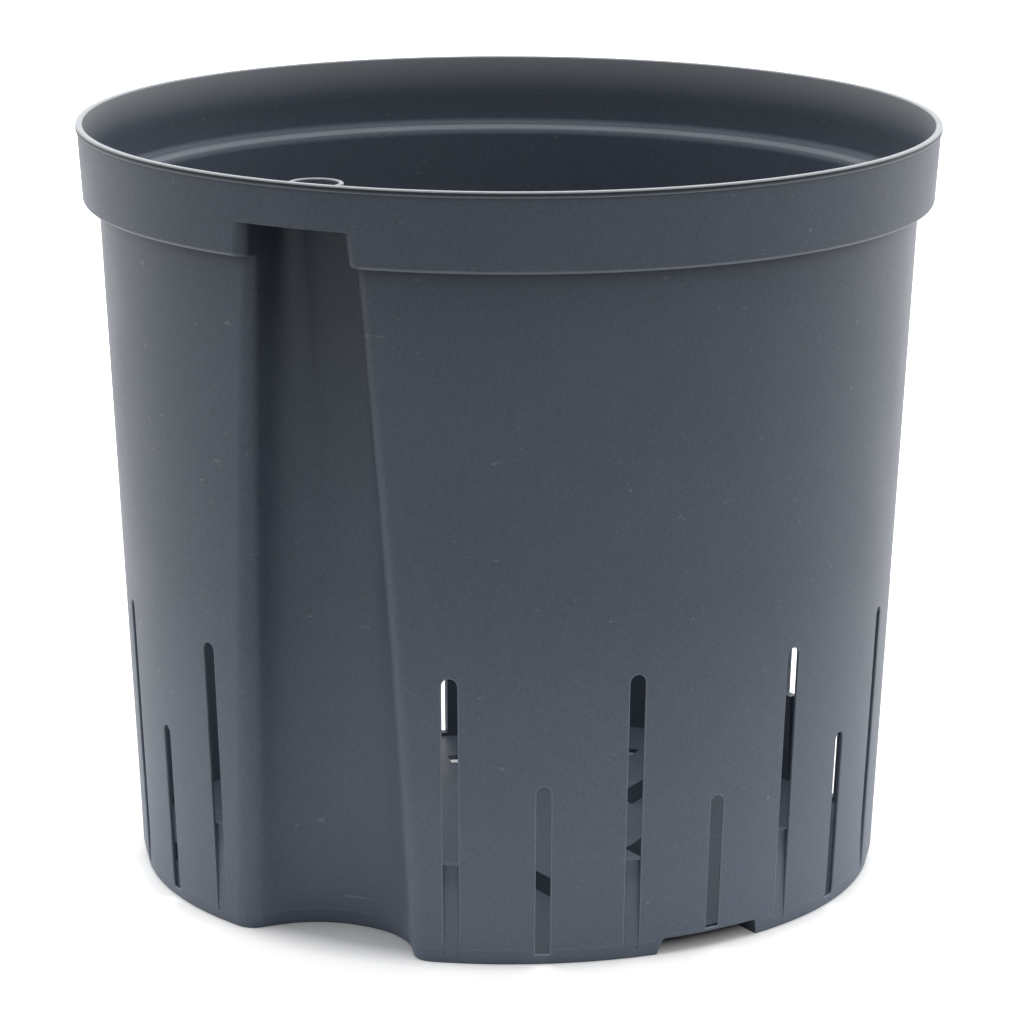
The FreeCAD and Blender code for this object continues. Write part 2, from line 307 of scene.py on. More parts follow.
def spot(radius, azimuth, z):
    """Return a point from its radius, azimuth and height."""
    angle = radians(azimuth)
    return Vector((radius * sin(angle), -radius * cos(angle), z))


def mirrored(corners):
    """Mirror corners from right to left, in reverse order."""
    flip = Vector((-1, 1, 1))
    return [(place * flip, normal * flip) for place, normal in reversed(corners)]


class Skin:
    """A closed mesh under construction, whose corners are (place, normal) pairs."""

    def __init__(self):
        self.places = []
        self.indices = {}
        self.faces = []
        self.normals = []
        # Painted light by place number: highlight shares above zero, painted shade below.
        self.painted_light = {}

    def index(self, place):
        """Return a place's number."""
        key = tuple(round(value, 6) for value in place)
        if key not in self.indices:
            self.indices[key] = len(self.places)
            self.places.append(place)
        return self.indices[key]

    def mark(self, corners, share):
        """Mark painted highlight, or painted shade below zero, at corners."""
        for place, _ in corners:
            self.painted_light[self.index(place)] = share

    def mark_all(self, rule):
        """Mark the places that a rule gives a share."""
        for index, place in enumerate(self.places):
            share = rule(place)
            if share is not None:
                self.painted_light[index] = share

    def face(self, *corners):
        """Add a face, wound to agree with its normals."""
        kept = {}
        for place, normal in corners:
            kept.setdefault(self.index(place), normal)
        if len(kept) < 3:
            return
        points = [self.places[index] for index in kept]
        wound = Vector((0, 0, 0))
        for first, second in zip(points, points[1:] + points[:1]):
            wound += (first - points[0]).cross(second - points[0])
        ordered = list(kept.items())
        if wound.dot(sum(kept.values(), Vector((0, 0, 0)))) < 0:
            ordered.reverse()
        self.faces.append([index for index, _ in ordered])
        self.normals.extend(normal for _, normal in ordered)

    def flat(self, normal, *places):
        """Add a flat face."""
        self.face(*[(place, normal) for place in places])

    def grid(self, rows):
        """Add the faces between rows of corners."""
        for first, second in zip(rows, rows[1:]):
            for index in range(len(first) - 1):
                self.face(first[index], first[index + 1], second[index + 1], second[index])

    def band(self, normal, first, second):
        """Add flat faces between two rows of places."""
        self.grid([[(place, normal) for place in row] for row in (first, second)])

    def close_rows(self, outer, inner):
        """Close the ends between an outer and an inner face."""
        for index, normal in ((0, -upward), (-1, upward)):
            self.band(normal, *[[place for place, _ in face[index]] for face in (outer, inner)])

    def piece(self, name, node):
        """Make the object, which stands for a node."""
        mesh = bpy.data.meshes.new(name)
        mesh.from_pydata(self.places, [], self.faces)
        mesh.shade_smooth()
        mesh.normals_split_custom_set([tuple(normal) for normal in self.normals])
        # The painted light and shade shares go to the mesh as a point attribute.
        layer = mesh.attributes.new("painted_light", "FLOAT", "POINT")
        shares = [self.painted_light.get(index, 0.0) for index in range(len(self.places))]
        layer.data.foreach_set("value", shares)
        mesh.materials.append(plastic)
        piece = bpy.data.objects.new(name, mesh)
        bpy.context.scene.collection.objects.link(piece)
        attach(piece, "root")
        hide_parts(node)


def wall_radius(z):
    """Return the tapered wall's outside radius."""
    return wall_foot_radius + wall_lean * z


def collar_radius(z):
    """Return the collar's outside radius."""
    return collar_foot_radius + collar_lean * (z - collar_foot)


def foot_inset(z):
    """Return how far the wall's foot is drawn in."""
    inset = max(0.0, foot_edge_inset * (1 - z / foot_edge_height))
    below = max(0.0, 1 - z / foot_rounding)
    return inset + foot_rounding * (1 - sqrt(1 - below * below))


def wall_slope(z):
    """Return the tilt of the wall's normal."""
    share = (z - foot_edge_height) / foot_edge_blend
    lean = mix(foot_edge_lean, wall_lean, held((share + 1) / 2))
    below = max(0.0, 1 - z / foot_rounding)
    if below >= 1:
        return -steepest_slope
    return -lean - below / sqrt(1 - below * below)


def meet_circle(start, along, radius):
    """Return where a line meets a circle round the pot's axis."""
    half = start.dot(along)
    return start + (-half + sqrt(half * half - start.length_squared + radius ** 2)) * along


def recess_marks(z, radius):
    """Return the recess's construction, whose places are (across, outward) pairs."""
    share = z / roof_underside
    back = mix(recess_foot_back, recess_top_back, share)
    flat = mix(recess_foot_flat, recess_top_flat, share)
    corner = mix(recess_foot_corner, recess_top_corner, share)
    fillet = mix(recess_foot_fillet, recess_top_fillet, share)
    angle = radians(mix(recess_foot_angle, recess_top_angle, share))
    into = Vector((cos(angle), -sin(angle)))
    along = Vector((sin(angle), cos(angle)))
    corner_centre = Vector((flat, back + corner))
    start = corner_centre + (corner + fillet) * into
    return back, flat, corner, fillet, angle, corner_centre, meet_circle(start, along, radius - fillet)


def mouth_azimuth(z, radius):
    """Return where the recess's mouth leaves a wall of this radius."""
    centre = recess_marks(z, radius)[-1]
    return degrees(atan2(centre.x, centre.y))


def mouth_at(z, last=False):
    """Return the azimuth of the round wall's first or last edge."""
    mouth = mouth_azimuth(z, wall_radius(z))
    return 360 - mouth if last else mouth


def half_outline(z, radius, inset):
    """Return the right half of the recess's outline, from its back to its mouth.

    Its places and normals are (across, outward) pairs.
    """
    back, flat, corner, fillet, angle, corner_centre, fillet_centre = recess_marks(z, radius)
    mouth = atan2(fillet_centre.x, fillet_centre.y)
    points = []
    for across in steps(0, flat, back_points - 1):
        points.append((Vector((across, back - inset)), Vector((0, 1))))
    for turn in steps(-pi / 2, -angle, corner_points)[1:]:
        way = Vector(way_at(turn))
        points.append((corner_centre + (corner + inset) * way, -way))
    mouth_points = []
    for turn in steps(pi - angle, pi / 2 - mouth, fillet_points):
        way = Vector(way_at(turn))
        mouth_points.append((fillet_centre + (fillet - inset) * way, way))
    side_end, side_normal = points[-1]
    for share in steps(0, 1, side_points + 1)[1:-1]:
        points.append((side_end.lerp(mouth_points[0][0], share), side_normal))
    return points + mouth_points


def recess_row(z, radius_at, inset_at, facing=1):
    """Return the recess's outline as corners, from left to right.

    Radius and inset are functions of the height, so that the normals tilt with them.
    """
    low = max(0.0, z - outline_nudge)
    high = z + outline_nudge
    here, below, above = [half_outline(at, radius_at(at), inset_at(at)) for at in (z, low, high)]
    right = []
    for (place, normal), (lower, _), (higher, _) in zip(here, below, above):
        tilt = -(higher - lower).dot(normal) / (high - low)
        corner_normal = Vector((normal.x, -normal.y, tilt)).normalized() * facing
        right.append((Vector((place.x, -place.y, z)), corner_normal))
    return mirrored(right[1:]) + right


def set_camera():
    """Place the camera at the photograph's viewing angle."""
    forward = Vector((sin(camera_yaw) * cos(camera_pitch),
                      cos(camera_yaw) * cos(camera_pitch),
                      -sin(camera_pitch)))
    right = Vector((cos(camera_yaw), -sin(camera_yaw), 0))
    up = right.cross(forward)
    tilted_right = cos(camera_roll) * right + sin(camera_roll) * up
    tilted_up = cos(camera_roll) * up - sin(camera_roll) * right
    turn = Matrix.Rotation(radians(camera_azimuth), 3, "Z")
    axes = [turn @ axis for axis in (tilted_right, tilted_up, -forward)]
    place = turn @ Vector((0, -camera_distance, camera_height))
    data = bpy.data.cameras.new("camera")
    data.sensor_width = sensor_width
    data.lens = focal_length_pixels / picture_width_pixels * sensor_width
    data.clip_start = nearest_view
    data.clip_end = farthest_view
    camera = bpy.data.objects.new("camera", data)
    bpy.context.scene.collection.objects.link(camera)
    camera.matrix_world = Matrix.Translation(place) @ Matrix(axes).transposed().to_4x4()
    bpy.context.scene.camera = camera


class Nodes:
    """A material's or world's node tree."""

    def __init__(self, owner):
        owner.use_nodes = True
        self.tree = owner.node_tree
        self.tree.nodes.clear()

    def add(self, kind, inputs=None, **settings):
        """Add a node with its inputs' values or links."""
        node = self.tree.nodes.new(kind)
        for name, value in settings.items():
            setattr(node, name, value)
        for name, value in (inputs or {}).items():
            self.put(node.inputs[name], value)
        return node

    def put(self, socket, value):
        """Link an output to a socket, or set its value."""
        if isinstance(value, bpy.types.NodeSocket):
            self.tree.links.new(value, socket)
        else:
            socket.default_value = value

    def math(self, operation, *values):
        """Return a math node's result."""
        inputs = dict(enumerate(values))
        return self.add("ShaderNodeMath", inputs, operation=operation).outputs[0]

    def noise(self, place, scale, detail, roughness):
        """Return a noise texture's value."""
        inputs = {"Vector": place, "Scale": scale, "Detail": detail, "Roughness": roughness}
        return self.add("ShaderNodeTexNoise", inputs).outputs["Fac"]

    def stretch(self, value, *ends):
        """Map a value from one range to another, within its ends."""
        names = ("Value", "From Min", "From Max", "To Min", "To Max")
        return self.add("ShaderNodeMapRange", dict(zip(names, (value,) + ends)), clamp=True).outputs[0]

    def shown(self):
        """Return 1 for rays that show the background."""
        path = self.add("ShaderNodeLightPath").outputs
        reflected = self.math("MAXIMUM", path["Is Glossy Ray"], path["Is Transmission Ray"])
        return self.math("MAXIMUM", path["Is Camera Ray"], reflected)

    def blend(self, share, first, second):
        """Return a colour between two."""
        node = self.add("ShaderNodeMix", data_type="RGBA")
        self.put(node.inputs["Factor"], share)
        colours = [socket for socket in node.inputs if socket.type == "RGBA"]
        for socket, colour in zip(colours, (first, second)):
            self.put(socket, colour)
        return [socket for socket in node.outputs if socket.type == "RGBA"][0]


def set_world():
    """Light the scene from a surround that is brightest behind the pot."""
    world = bpy.data.worlds.new("surround")
    bpy.context.scene.world = world
    nodes = Nodes(world)
    direction = nodes.add("ShaderNodeTexCoord").outputs["Generated"]
    azimuth = radians(camera_azimuth + light_turn)
    away = (-sin(azimuth), cos(azimuth), 0.0)
    dot = nodes.add("ShaderNodeVectorMath", {0: direction, 1: away}, operation="DOT_PRODUCT")
    behind = nodes.stretch(dot.outputs["Value"], -1.0, 1.0, 0.0, 1.0)
    around = nodes.stretch(nodes.math("POWER", behind, level_power), 0.0, 1.0, front_level, back_level)
    height = nodes.add("ShaderNodeSeparateXYZ", {"Vector": direction}).outputs["Z"]
    above = nodes.math("POWER", nodes.math("MAXIMUM", height, 0.0), top_power)
    level = nodes.math("MULTIPLY_ADD", above, top_level, around)
    strength = nodes.math("MAXIMUM", level, nodes.shown())
    background = nodes.add("ShaderNodeBackground", {"Color": white, "Strength": strength})
    nodes.add("ShaderNodeOutputWorld", {"Surface": background.outputs[0]})


def set_floor():
    """Make the pale floor, which glows round the pot."""
    half = floor_size / 2
    mesh = bpy.data.meshes.new("floor")
    corners = [(-half, -half, 0), (half, -half, 0), (half, half, 0), (-half, half, 0)]
    mesh.from_pydata(corners, [], [(0, 1, 2, 3)])
    floor = bpy.data.objects.new("floor", mesh)
    bpy.context.scene.collection.objects.link(floor)
    material = bpy.data.materials.new("pale_floor")
    nodes = Nodes(material)
    place = nodes.add("ShaderNodeTexCoord").outputs["Object"]
    radius = nodes.add("ShaderNodeVectorMath", {0: place}, operation="LENGTH").outputs["Value"]
    ends = [wall_foot_radius + offset for offset in (floor_glow_start, floor_glow_end)]
    around = nodes.stretch(radius, *ends, 0.0, floor_glow)
    strength = nodes.math("MULTIPLY", nodes.shown(), around)
    glow = nodes.add("ShaderNodeEmission", {"Color": white, "Strength": strength})
    diffuse = nodes.add("ShaderNodeBsdfDiffuse", {"Color": floor_colour})
    both = nodes.add("ShaderNodeAddShader", {0: diffuse.outputs[0], 1: glow.outputs[0]})
    nodes.add("ShaderNodeOutputMaterial", {"Surface": both.outputs[0]})
    mesh.materials.append(material)


def pot_plastic(name, painted_foot_level):
    """Return the slate-grey plastic, whose colour is scaled towards a level at its foot: painted light
    above 1, painted shade below 1.
    """
    material = bpy.data.materials.new(name)
    nodes = Nodes(material)
    place = nodes.add("ShaderNodeTexCoord").outputs["Object"]
    cloud = nodes.noise(place, *cloud_noise)
    colour = nodes.blend(nodes.stretch(cloud, *cloud_range), darker_colour, lighter_colour)
    speck = nodes.stretch(nodes.noise(place, *speck_noise), *speck_range)
    # Painted light by height: the colour's value runs from the foot's level at the bottom to 1 higher up.
    height = nodes.add("ShaderNodeSeparateXYZ", {"Vector": place}).outputs["Z"]
    painted_level = nodes.stretch(height, 0.0, painted_light_height, painted_foot_level, 1.0)
    level = nodes.math("ADD", speck, painted_level)
    colour = nodes.add("ShaderNodeHueSaturation", {"Color": colour, "Value": level}).outputs[0]
    along = nodes.add("ShaderNodeMapping", {"Vector": place, "Scale": scuff_stretch}).outputs[0]
    scuffs = nodes.stretch(nodes.noise(along, *scuff_noise), *scuff_range)
    turning = {"Vector": place, "Rotation": scratch_turn, "Scale": scratch_stretch}
    turned = nodes.add("ShaderNodeMapping", turning).outputs[0]
    scratches = nodes.stretch(nodes.noise(turned, *scratch_noise), *scratch_range)
    # Painted light from the mesh's shares: highlights mixed in with the scuffs and scratches, and painted
    # shade below zero.
    painted_light = nodes.add("ShaderNodeAttribute", attribute_name="painted_light").outputs["Fac"]
    scuffs_and_highlights = nodes.math("MAXIMUM", nodes.math("MAXIMUM", scuffs, scratches), painted_light)
    painted_shade = nodes.math("MAXIMUM", nodes.math("MULTIPLY", painted_light, -1.0), 0.0)
    colour = nodes.blend(painted_shade, nodes.blend(scuffs_and_highlights, colour, worn_and_highlight_colour), painted_shade_colour)
    grain = nodes.noise(place, *grain_noise)
    relief = {"Height": grain, "Strength": grain_strength, "Distance": grain_depth}
    shader = nodes.add("ShaderNodeBsdfPrincipled", {
        "Base Color": colour,
        "Roughness": nodes.stretch(cloud, *roughness_range),
        "Normal": nodes.add("ShaderNodeBump", relief).outputs[0],
        "IOR": refraction,
        "Specular IOR Level": specular_level,
    })
    nodes.add("ShaderNodeOutputMaterial", {"Surface": shader.outputs[0]})
    return material


def rounding_rows():
    """Return the row heights of the wall's rounded lower edge."""
    turns = steps(0, pi / 2, foot_steps)[:-1]
    return [foot_rounding * (1 - cos(turn)) for turn in turns] + [foot_rounding]


def wall_rows():
    """Return the heights of the wall's rows."""
    edge = [foot_edge_height + offset for offset in (-foot_edge_blend, 0, foot_edge_blend)]
    foot = rounding_rows() + [foot_edge_height / 3, foot_edge_height * 2 / 3] + edge
    start = foot_edge_height + wall_row_step
    end = collar_foot - collar_crease_reach
    crease = [collar_foot - share * collar_crease_reach for share in crease_row_shares]
    return foot + steps(start, end, round((end - start) / wall_row_step)) + crease + [collar_foot]


def wall_columns():
    """Return the azimuths of the wall's columns."""
    return steps(0, 360, round(360 / wall_column_step))


def shelf_roll(z):
    """Return how far the wall is drawn back under the shelf, and its slope."""
    above = min(shelf_roll_height, max(0.0, z - collar_foot + shelf_roll_height))
    reach = sqrt(shelf_roll_radius ** 2 - above * above)
    return shelf_roll_radius - reach, above / reach


def outer_corner(azimuth, z):
    """Return a corner on the wall's outer face."""
    return spot(wall_radius(z) - foot_inset(z), azimuth, z), radial(azimuth, wall_slope(z))


def inner_corner(azimuth, z):
    """Return a corner on the wall's inner face."""
    drawn_back, slope = shelf_roll(z)
    normal = -radial(azimuth, -wall_lean - slope)
    return spot(wall_radius(z) - wall + drawn_back, azimuth, z), normal


def unrolled(azimuth, z):
    """Return a place of the unrolled wall, in millimetres."""
    return (radians(azimuth) * wall_top_radius / mm, z / mm)


def crease_shade(distance, reach, depth):
    """Return the painted shade at a distance from a crease."""
    return -depth * max(0.0, 1 - distance / reach) ** 2


def collar_shade(z):
    """Return the outer face's painted shade below the collar."""
    return crease_shade(collar_foot - z, collar_crease_reach, collar_crease_shade)


def inside_shade_at(z):
    """Return the inner face's painted shade."""
    return crease_shade(z, inside_shade_height, inside_shade)


def foot_painted_light(place):
    """Return the painted shade on the wall's foot rounding, or the lighter line at its edge, or None."""
    if place.z <= foot_rounding:
        # Painted contact shade along the foot's rounding.
        return -foot_contact_shade * (1 - place.z / foot_rounding / 2)
    if abs(place.z - foot_edge_height) < height_tolerance:
        # Painted lighter line along the foot's edge.
        return foot_edge_lightening
    return None


def wall_painted_light(place):
    """Return the painted light or shade on the round wall, or None."""
    depth = wall_radius(place.z) - hypot(place.x, place.y)
    if depth > inside_depth:
        return inside_shade_at(place.z)
    if place.z > collar_foot - collar_crease_reach:
        return collar_shade(place.z) if depth < wall / 2 else None
    return foot_painted_light(place)


def moved(point, distance):
    """Return a point of an outline, moved along its way."""
    across, z, way, _ = point
    return across + way[0] * distance, z + way[1] * distance


class Cutout:
    """A slot or notch, drawn in an (across, height) plane at its azimuth.

    Each point of its outline has an across, a height, the way into the wall, which
    carries the rounded edge, and the normal along it.
    """

    def __init__(self, azimuth, outline, rounding_at, flare=0.0):
        self.azimuth = azimuth
        self.outline = outline
        self.rounding_at = rounding_at
        self.flare = flare
        self.aside = radial(azimuth + 90)
        self.outward = radial(azimuth)

    def place(self, across, z, outward):
        """Return a place from its distances across, up and outward."""
        return across * self.aside + outward * self.outward + z * upward

    def behind_face(self, across, z, depth=0.0):
        """Return a place behind the wall's outer face."""
        return self.place(across, z, chord(wall_radius(z) - foot_inset(z), across) - depth)

    def on_inner_face(self, across, z):
        """Return a place on the wall's inner face."""
        return self.place(across, z, chord(wall_radius(z) - wall, across))

    def azimuth_at(self, across, z):
        """Return a point's azimuth."""
        return self.azimuth + degrees(asin(across / wall_radius(z)))

    def flat_place(self, across, z):
        """Return a place in the unrolled wall."""
        return unrolled(self.azimuth_at(across, z), z)

    def inner_pair(self, across, z):
        """Return an unrolled place and corner of the inner face."""
        normal = -radial(self.azimuth, -wall_lean)
        return self.flat_place(across, z), (self.on_inner_face(across, z), normal)

    def into_opening(self, facing):
        """Return the normal that looks into the opening."""
        return (-facing[0] * self.aside - facing[1] * upward).normalized()

    def edge_rows(self):
        """Return the rounded edge's rows of corners, from the wall's face inwards."""
        rows = []
        for turn in steps(0, pi / 2, edge_steps):
            row = []
            for point in self.outline:
                across, z, _, facing = point
                rounding = self.rounding_at(z)
                flat = moved(point, rounding * (1 - sin(turn)))
                face_normal = radial(self.azimuth_at(across, z), wall_slope(z))
                normal = cos(turn) * face_normal + sin(turn) * self.into_opening(facing)
                place = self.behind_face(*flat, rounding * (1 - cos(turn)))
                row.append((place, normal.normalized()))
            rows.append(row)
        return rows

    def outer_outline(self):
        """Return the outer face's outline as (unrolled place, corner) pairs."""
        flats = [self.flat_place(*moved(point, self.rounding_at(point[1]))) for point in self.outline]
        return list(zip(flats, self.edge_rows()[0]))

    def inner_outline(self):
        """Return the inner face's outline as such pairs."""
        return [self.inner_pair(*moved(point, self.flare)) for point in self.outline]

    def add_to(self, skin, skipped=0):
        """Add the edge, and the sides without some points at either end."""
        rows = self.edge_rows()
        skin.grid(rows)
        # Painted highlights along the rounded edge.
        for row, share in zip(rows, slot_edge_highlight_shares):
            skin.mark(row, share)
        sides = []
        for point, (place, _) in zip(self.outline, rows[-1]):
            normal = self.into_opening(point[3])
            sides.append(((place, normal), (self.on_inner_face(*moved(point, self.flare)), normal)))
        skin.grid(list(zip(*sides[skipped:len(sides) - skipped])))


def bar_outline(half_width, z_high, heights):
    """Return a slot's outline, from its right foot over its top to its left foot."""
    right = [(half_width, z, (1, 0), (1, 0)) for z in heights]
    left = [(-half_width, z, (-1, 0), (-1, 0)) for z in reversed(heights)]
    centre = z_high - half_width
    top = []
    for turn in steps(0, pi, slot_top_steps):
        way = way_at(turn)
        top.append((half_width * way[0], centre + half_width * way[1], way, way))
    return right + top + left


def near_notch(azimuth):
    """Tell whether a slot stands over a notch."""
    return any(abs(azimuth - notch) < slot_pitch / 4 for notch in notch_azimuths)


class UpperSlot(Cutout):
    """An upper slot, which runs down into a groove over an inner sill."""

    def __init__(self, azimuth):
        over_notch = near_notch(azimuth)
        self.foot = notch_height + 3 * notch_edge_rounding if over_notch else groove_foot
        self.sill_foot = floor_thickness + (notch_height if over_notch else 0)
        self.half = upper_slot_width / 2
        self.inner_half = self.half + slot_flare
        self.sill_half = self.half + sill_flange
        self.sill_inner = groove_radius - sill_thickness
        self.sill_heights = steps(self.sill_foot, upper_slot_foot, sill_steps)
        self.columns = steps(-self.half, self.half, groove_columns)
        fading = [self.foot + offset for offset in (0, groove_fade / 2, groove_fade)]
        self.groove_heights = fading + steps(groove_row_gap + fading[-1], upper_slot_foot, groove_steps)
        open_heights = steps(upper_slot_foot, upper_slot_top - self.half, open_slot_steps)[1:-1]
        outline = bar_outline(self.half, upper_slot_top, self.groove_heights + open_heights)
        super().__init__(azimuth, outline, self.rounding, slot_flare)

    def depth(self, z):
        """Return the groove's depth, which fades at its foot."""
        full = wall_radius(z) - foot_inset(z) - groove_radius
        return full * min(1.0, (z - self.foot) / groove_fade)

    def rounding(self, z):
        """Return the edge's rounding, which fades too."""
        return max(0.0, min(slot_edge_rounding, self.depth(z) * groove_rounding_share))

    def floor_place(self, across, z):
        """Return a place on the groove's floor."""
        if z == self.foot:
            return self.behind_face(across, z)
        return self.place(across, z, wall_radius(z) - foot_inset(z) - self.depth(z))

    def outer_loop(self):
        """Return the closed outline in the outer face."""
        z = self.foot
        closing = []
        for across in self.columns[1:-1]:
            normal = radial(self.azimuth_at(across, z), wall_slope(z))
            closing.append((self.flat_place(across, z), (self.behind_face(across, z), normal)))
        return self.outer_outline() + closing

    def inner_loop(self):
        """Return the closed outline in the inner face."""
        middle = [self.inner_pair(0.0, self.sill_foot)]
        right = [self.inner_pair(self.sill_half, z) for z in self.sill_heights]
        left = [self.inner_pair(-self.sill_half, z) for z in reversed(self.sill_heights)]
        pairs = zip(self.inner_outline(), self.outline)
        return middle + right + [pair for pair, point in pairs if point[1] >= upper_slot_foot] + left

    def add_to(self, skin):
        """Add the slot, its groove and its sill."""
        super().add_to(skin, len(self.groove_heights) - 1)
        floor = []
        for z in self.groove_heights:
            floor.append([(self.floor_place(across, z), self.outward) for across in self.columns])
        skin.grid(floor)
        edge = [place for place, _ in self.edge_rows()[-1]]
        for side in (1, -1):
            self.add_groove_side(skin, side, edge[::side])
        self.add_sill(skin)

    def add_groove_side(self, skin, side, edge):
        """Add a side of the groove."""
        heights = self.groove_heights
        for index, (z, above) in enumerate(zip(heights, heights[1:])):
            corners = [edge[index]] + [self.floor_place(side * self.half, at) for at in (z, above)]
            if above == upper_slot_foot:
                corners.append(self.on_inner_face(side * self.inner_half, above))
            skin.flat(-side * self.aside, *corners, edge[index + 1])

    def add_sill(self, skin):
        """Add the sill behind the groove."""
        half = self.sill_half
        z = upper_slot_foot
        top = [self.place(across, z, groove_radius) for across in self.columns]
        top += [self.on_inner_face(across, z) for across in (self.inner_half, half)]
        top += [self.place(across, z, self.sill_inner) for across in (half, -half)]
        top += [self.on_inner_face(across, z) for across in (-half, -self.inner_half)]
        skin.flat(upward, *top)
        bottom = [self.on_inner_face(across, self.sill_foot) for across in (-half, 0.0, half)]
        bottom += [self.place(across, self.sill_foot, self.sill_inner) for across in (half, -half)]
        skin.flat(-upward, *bottom)
        fronts = []
        for side in (1, -1):
            fronts.append([self.place(side * half, z, self.sill_inner) for z in self.sill_heights])
            back = [self.on_inner_face(side * half, z) for z in self.sill_heights]
            skin.band(side * self.aside, fronts[-1], back)
        skin.band(-self.outward, *fronts)


class LowerSlot(Cutout):
    """A lower or short slot, which goes through the wall down to a flat ledge."""

    def __init__(self, azimuth, foot, top):
        half = lower_slot_width / 2
        low = [foot + rise for rise in ledge_row_rises]
        heights = low[:-1] + steps(low[-1], top - half, lower_slot_steps)[:-1]
        outline = bar_outline(half, top, heights)
        outline[0] = (half, foot, (1, -1), (1, 0))
        outline[-1] = (-half, foot, (-1, -1), (-1, 0))
        outline += [(side * half, foot, (side, -1), (0, -1)) for side in (-1, 0, 1)]
        super().__init__(azimuth, outline, lambda z: slot_edge_rounding, slot_flare)

    def outer_loop(self):
        """Return the closed outline in the outer face."""
        pairs = self.outer_outline()
        return pairs[:-3] + pairs[-2:-1]

    def inner_loop(self):
        """Return the closed outline in the inner face."""
        pairs = self.inner_outline()
        return pairs[:-3] + pairs[-2:-1]


class Notch(Cutout):
    """A notch in the wall's foot, where water flows into a channel."""

    def __init__(self, azimuth):
        lean = atan((notch_foot_half_width - notch_roof_half_width) / notch_height)
        centre_z = notch_height - notch_corner
        reach = (notch_corner + centre_z * sin(lean)) / cos(lean)
        centre = notch_foot_half_width - reach
        corner_foot = centre_z + notch_corner * sin(lean)
        right = []
        for z in rounding_rows() + steps(foot_rounding, corner_foot, notch_side_steps)[1:-1]:
            across = notch_foot_half_width - z * tan(lean)
            right.append((across, z, (1 / cos(lean), 0), way_at(lean)))
        for turn in steps(lean, pi / 2, notch_corner_steps):
            way = way_at(turn)
            right.append((centre + notch_corner * way[0], centre_z + notch_corner * way[1], way, way))
        roof = [(across, notch_height, (0, 1), (0, 1))
                for across in steps(centre, -centre, notch_roof_steps)[1:-1]]
        left = [(-across, z, (-way[0], way[1]), (-facing[0], facing[1]))
                for across, z, way, facing in reversed(right)]
        super().__init__(azimuth, right + roof + left, lambda z: notch_edge_rounding)

    def end_columns(self, side):
        """Return the edge's columns of corners over the foot's rounding."""
        return [row[::side][:len(rounding_rows())] for row in self.edge_rows()]


def make_slots():
    """Return the slots, alternating from beside the recess."""
    slots = []
    for place in range(1, slot_places - 1):
        azimuth = (place + 0.5) * slot_pitch
        if min(place, slot_places - 1 - place) % 2:
            slots.append(UpperSlot(azimuth))
        elif near_notch(azimuth):
            slots.append(LowerSlot(azimuth, short_slot_foot, short_slot_top))
        else:
            slots.append(LowerSlot(azimuth, lower_slot_foot, lower_slot_top))
    return slots


def ring_edges(first, count):
    """Return a closed outline's edges, by point numbers."""
    return [(first + index, first + (index + 1) % count) for index in range(count)]


def triangles(flats, edges):
    """Return each triangle as its middle and point numbers."""
    inside_edges = 1
    result = delaunay_2d_cdt(flats, edges, [], inside_edges, triangle_tolerance)
    places, faces, origins = result[0], result[2], result[3]
    found = []
    for face in faces:
        middle = sum((places[index] for index in face), Vector((0, 0))) / len(face)
        found.append((middle, [origins[index][0] for index in face]))
    return found


def loop_box(loop):
    """Return an outline's lowest and highest places."""
    across = [flat[0] for flat, _ in loop]
    up = [flat[1] for flat, _ in loop]
    return min(across), max(across), min(up), max(up)


def in_box(where, box, margin=0.0):
    """Tell whether a place lies in a box or its margin."""
    left, right, low, high = box
    return left - margin < where[0] < right + margin and low - margin < where[1] < high + margin


def inside_loop(where, loop):
    """Tell whether a place lies inside a closed outline."""
    inside = False
    previous = loop[-1][0]
    for (u, v), _ in loop:
        if (v > where[1]) != (previous[1] > where[1]):
            crossing = u + (where[1] - v) / (previous[1] - v) * (previous[0] - u)
            if where[0] < crossing:
                inside = not inside
        previous = (u, v)
    return inside


def add_sheet(skin, border, holes, rows):
    """Add a face of the wall by triangulating its unrolled outline with its openings.

    Rows hold pairs like the outlines, with None where a column is left out.
    """
    pairs = []
    edges = []
    for loop in [border] + holes:
        edges += ring_edges(len(pairs), len(loop))
        pairs += loop
    for row in rows:
        for previous, pair in zip([None] + row, row):
            if pair is None:
                continue
            if previous is not None:
                edges.append((len(pairs) - 1, len(pairs)))
            pairs.append(pair)
    boxed = [(loop_box(loop), loop) for loop in holes]
    for middle, points in triangles([Vector(flat) for flat, _ in pairs], edges):
        if not any(in_box(middle, box) and inside_loop(middle, loop) for box, loop in boxed):
            skin.face(*[pairs[point][1] for point in points])


def pair_at(corner_at, azimuth, z):
    """Return a face's unrolled place and corner."""
    return unrolled(azimuth, z), corner_at(azimuth, z)


def places_of(pairs):
    """Return the places of pairs."""
    return [place for _, (place, _) in pairs]


def sheet_rows(corner_at, heights, loops):
    """Return a face's rows of inner pairs, with None near openings."""
    boxes = [loop_box(loop) for loop in loops]
    gap = degrees(outline_margin / wall_foot_radius)
    rows = []
    for z in heights:
        mouth = mouth_at(z) + gap
        row = []
        for azimuth in wall_columns():
            pair = None
            if mouth < azimuth < 360 - mouth:
                pair = pair_at(corner_at, azimuth, z)
                if any(in_box(pair[0], box, outline_margin / mm) for box in boxes):
                    pair = None
            row.append(pair)
        rows.append(row)
    return rows


def mouth_pairs(corner_at, heights, last):
    """Return a face's pairs up its first or last edge."""
    return [pair_at(corner_at, mouth_at(z, last), z) for z in heights]


